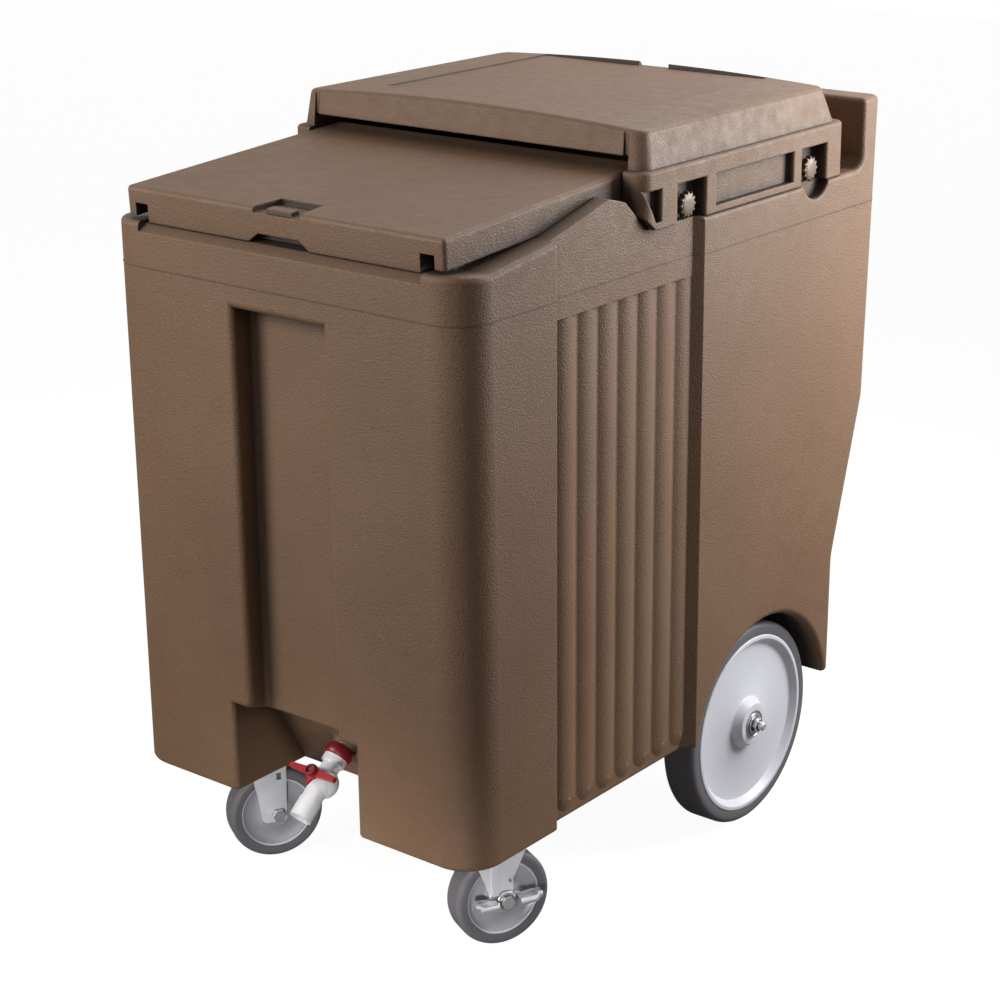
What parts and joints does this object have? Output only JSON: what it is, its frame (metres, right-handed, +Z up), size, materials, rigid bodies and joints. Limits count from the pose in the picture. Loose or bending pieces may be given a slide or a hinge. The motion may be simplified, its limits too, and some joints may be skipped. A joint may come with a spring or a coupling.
{
  "type": "mobile ice bin",
  "caption": "Insulated rolling ice bin with a sliding lid under a rear hood, ribbed sides, a drain valve, large rear wheels and swivel casters.",
  "frame": {"origin": "on the floor below the middle of the body", "axes": "+Z up, the drain valve and lid edge face -Y, +X to the right side"},
  "size_m": [0.512, 0.7952, 0.903],
  "materials": {
    "brown_shell": "fine pebbled matte",
    "foam": "closed-cell foam",
    "grey_tyre": "matte grey rubber",
    "white_disc": "satin moulded",
    "grey_core": "satin moulded",
    "knob_plastic": "satin moulded",
    "brass": "turned",
    "red_plastic": "satin moulded",
    "white_plastic": "satin moulded",
    "zinc_plate": "zinc plated",
    "bright_steel": "bright plated"
  },
  "bodies": {
    "root": {"body_shell": "brown_shell", "foam_core": "foam", "hood": "brown_shell", "rear_axle": "bright_steel", "drain_coupling": "red_plastic", "drain_neck": "white_plastic", "valve_housing": "white_plastic", "drain_outlet": "white_plastic", "axle_bracket_right": "zinc_plate", "axle_bracket_screws_right": "bright_steel", "axle_spacer_right": "bright_steel", "axle_washer_right": "bright_steel", "axle_nut_right": "bright_steel", "caster_plate_right": "zinc_plate", "caster_bolts_right": "bright_steel", "kingpin_right": "bright_steel", "screw_insert_front_right": "brass", "screw_insert_rear_right": "brass", "axle_bracket_left": "zinc_plate", "axle_bracket_screws_left": "bright_steel", "axle_spacer_left": "bright_steel", "axle_washer_left": "bright_steel", "axle_nut_left": "bright_steel", "caster_plate_left": "zinc_plate", "caster_bolts_left": "bright_steel", "kingpin_left": "bright_steel", "screw_insert_front_left": "brass", "screw_insert_rear_left": "brass"},
    "lid": {"sliding_lid": "brown_shell"},
    "valve": {"valve_ball": "white_plastic", "valve_handle": "red_plastic", "handle_screw": "bright_steel"},
    "screw_front_right": {"thumb_screw_front_right": "knob_plastic"},
    "screw_front_left": {"thumb_screw_front_left": "knob_plastic"},
    "screw_rear_right": {"thumb_screw_rear_right": "knob_plastic"},
    "screw_rear_left": {"thumb_screw_rear_left": "knob_plastic"},
    "fork_right": {"caster_fork_right": "zinc_plate", "caster_axle_bolt_right": "bright_steel", "caster_axle_nut_right": "bright_steel"},
    "caster_right": {"caster_tyre_right": "grey_tyre", "caster_wheel_right": "grey_core"},
    "brake": {"brake_lever": "zinc_plate"},
    "fork_left": {"caster_fork_left": "zinc_plate", "caster_axle_bolt_left": "bright_steel", "caster_axle_nut_left": "bright_steel"},
    "caster_left": {"caster_tyre_left": "grey_tyre", "caster_wheel_left": "grey_core"},
    "wheel_right": {"rear_tyre_right": "grey_tyre", "rear_wheel_right": "white_disc"},
    "wheel_left": {"rear_tyre_left": "grey_tyre", "rear_wheel_left": "white_disc"}
  },
  "joints": [
    {"name": "lid_slide", "type": "slide", "parent": "root", "child": "lid", "axis": [0, 0.998, 0.0634], "range_m": [0, 0.3]},
    {"name": "screw_front_right_turn", "type": "hinge", "parent": "root", "child": "screw_front_right", "pos_m": [0.236, -0.0058, 0.805], "axis": [1, 0, 0], "continuous": true},
    {"name": "screw_front_left_turn", "type": "hinge", "parent": "root", "child": "screw_front_left", "pos_m": [-0.236, -0.0058, 0.805], "axis": [-1, 0, 0], "continuous": true},
    {"name": "screw_rear_right_turn", "type": "hinge", "parent": "root", "child": "screw_rear_right", "pos_m": [0.236, 0.2466, 0.805], "axis": [1, 0, 0], "continuous": true},
    {"name": "screw_rear_left_turn", "type": "hinge", "parent": "root", "child": "screw_rear_left", "pos_m": [-0.236, 0.2466, 0.805], "axis": [-1, 0, 0], "continuous": true},
    {"name": "valve_turn", "type": "hinge", "parent": "root", "child": "valve", "pos_m": [0, -0.34852, 0.17458], "axis": [0, -0.6428, 0.766], "range_deg": [0, 90]},
    {"name": "fork_right_swivel", "type": "hinge", "parent": "root", "child": "fork_right", "pos_m": [0.1726, -0.2684, 0.13], "axis": [0, 0, 1], "continuous": true},
    {"name": "caster_right_roll", "type": "hinge", "parent": "fork_right", "child": "caster_right", "pos_m": [0.17782, -0.2576, 0.057], "axis": [0.9003, -0.4352, 0], "continuous": true},
    {"name": "brake_rock", "type": "hinge", "parent": "fork_right", "child": "brake", "pos_m": [0.17782, -0.2576, 0.057], "axis": [0.9003, -0.4352, 0], "range_deg": [-12, 12]},
    {"name": "fork_left_swivel", "type": "hinge", "parent": "root", "child": "fork_left", "pos_m": [-0.1726, -0.2684, 0.13], "axis": [0, 0, 1], "continuous": true},
    {"name": "caster_left_roll", "type": "hinge", "parent": "fork_left", "child": "caster_left", "pos_m": [-0.16644, -0.2581, 0.057], "axis": [0.8581, -0.5135, 0], "continuous": true},
    {"name": "wheel_right_roll", "type": "hinge", "parent": "root", "child": "wheel_right", "pos_m": [0.21, 0.167, 0.127], "axis": [1, 0, 0], "continuous": true},
    {"name": "wheel_left_roll", "type": "hinge", "parent": "root", "child": "wheel_left", "pos_m": [-0.21, 0.167, 0.127], "axis": [1, 0, 0], "continuous": true}
  ]
}
